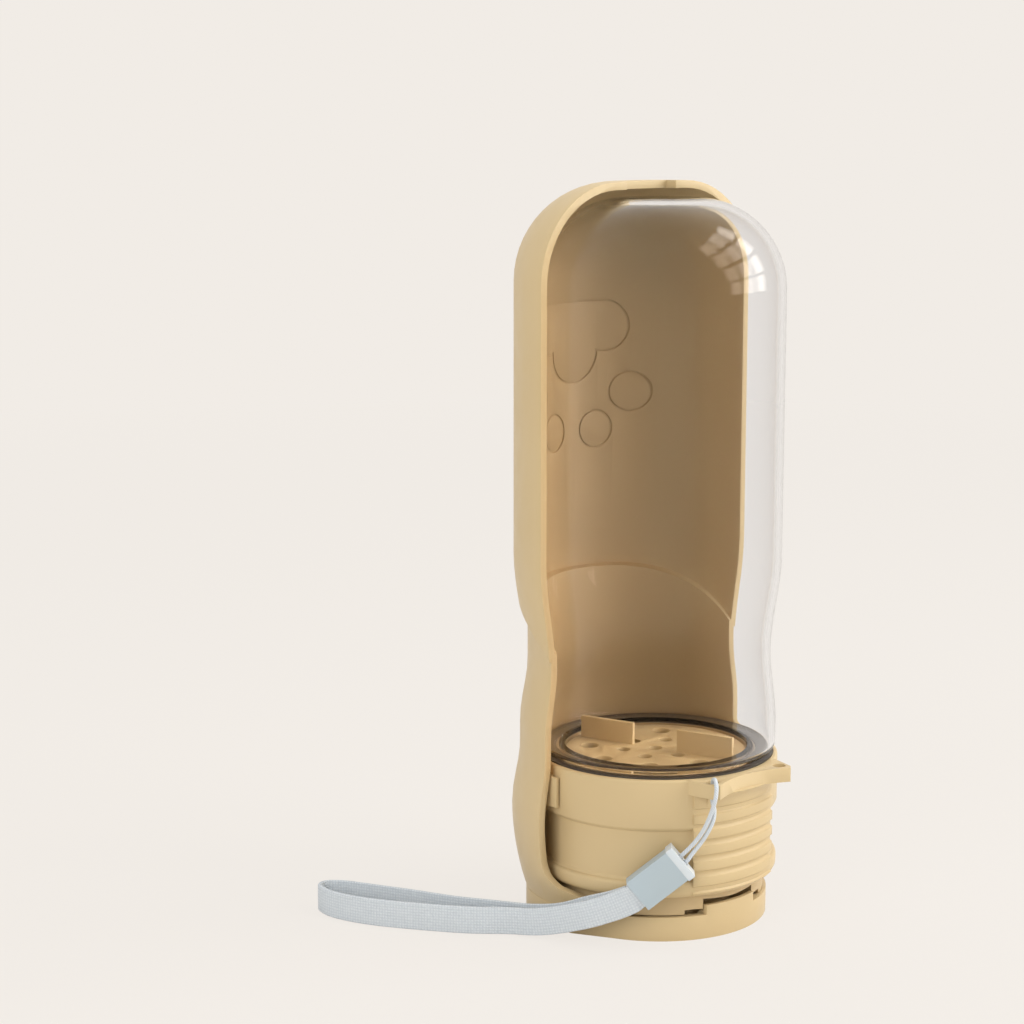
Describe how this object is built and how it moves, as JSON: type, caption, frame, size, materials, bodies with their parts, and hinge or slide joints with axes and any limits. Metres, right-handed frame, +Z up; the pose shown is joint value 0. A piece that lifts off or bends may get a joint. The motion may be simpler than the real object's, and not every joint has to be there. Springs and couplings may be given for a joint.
{
  "type": "dog travel water bottle",
  "caption": "Travel water bottle for dogs: a clear squeeze bottle on a tan filter collar, with a fold-down drinking trough round its back and a wrist lanyard.",
  "frame": {"origin": "on the bottle's axis, on the underside of the base cup", "axes": "+Z up along the bottle, -Y to the front where the thumb ledge and hinge tab are, +X to the right of someone who faces +Y"},
  "size_m": [0.1229, 0.1038, 0.2132],
  "materials": {
    "tan_plastic": "satin",
    "clear_plastic": "clear gloss",
    "dark_rubber": "matte",
    "silicone": "satin",
    "carbon": "matte",
    "pad": "porous",
    "steel": "brushed",
    "webbing": "woven",
    "clip_plastic": "satin"
  },
  "bodies": {
    "cap": {"collar": "tan_plastic", "neck_base": "tan_plastic", "housing_seal": "dark_rubber", "slit_valve": "silicone", "valve_retainer": "tan_plastic", "bottle_seal": "dark_rubber", "hinge_pin": "steel", "filter_cup": "tan_plastic", "carbon_filter": "carbon", "filter_pad": "pad", "lanyard_cord": "webbing", "lanyard_clip": "clip_plastic", "wrist_strap": "webbing"},
    "trough": {"trough": "tan_plastic", "outlet_plug": "silicone"},
    "filter_cover": {"filter_cover": "tan_plastic"},
    "bottle": {"bottle": "clear_plastic"}
  },
  "joints": [
    {"name": "trough_hinge", "type": "hinge", "parent": "cap", "child": "trough", "pos_m": [0, -0.0292, 0.0055], "axis": [-1, 0, 0], "range_deg": [0, 90]},
    {"name": "filter_cover_twist", "type": "hinge", "parent": "cap", "child": "filter_cover", "pos_m": [0, 0, 0.0472], "axis": [0, 0, 1], "range_deg": [0, 45]},
    {"name": "bottle_turn", "type": "hinge", "parent": "cap", "child": "bottle", "pos_m": [0, 0, 0.0486], "axis": [0, 0, 1], "range_deg": [0, 90]}
  ]
}
